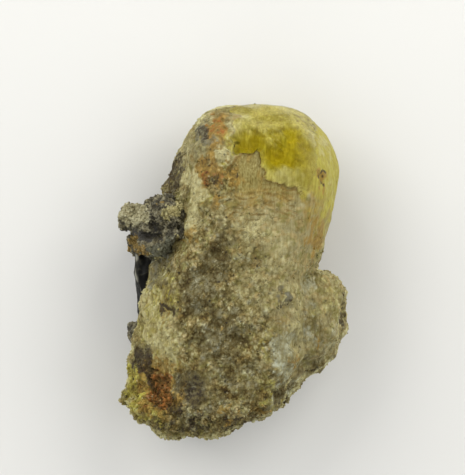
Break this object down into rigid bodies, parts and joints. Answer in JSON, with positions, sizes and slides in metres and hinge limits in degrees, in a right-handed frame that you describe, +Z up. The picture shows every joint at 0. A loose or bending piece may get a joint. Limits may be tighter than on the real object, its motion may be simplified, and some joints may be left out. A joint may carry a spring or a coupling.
{
  "type": "remondite crystal specimen",
  "caption": "A stout pseudo-hexagonal mineral crystal with a rounded cap and granular crust, lying on its flat broken back, with a smaller intergrown crystal and a dark matrix remnant",
  "frame": {"origin": "On the resting plane, under the middle of the specimen's bounding box", "axes": "+Y runs along the main crystal from its broken foot to its rounded cap, the longest way; +Z points up from the flat broken back that it lies on, the shortest way; +X runs across it, towards the smaller side crystal"},
  "size_m": [0.0284, 0.0422, 0.0167],
  "materials": {
    "crystal_crust": "granular cream, tan and grey crust, smoother towards the cap",
    "clear_crystal": "clear yellow crystal, amber where it is deep",
    "matrix_rock": "granular grey rock with a dark glassy break"
  },
  "bodies": {
    "root": {"remondite_crystal": "crystal_crust", "matrix_remnant": "matrix_rock"}
  },
  "joints": []
}
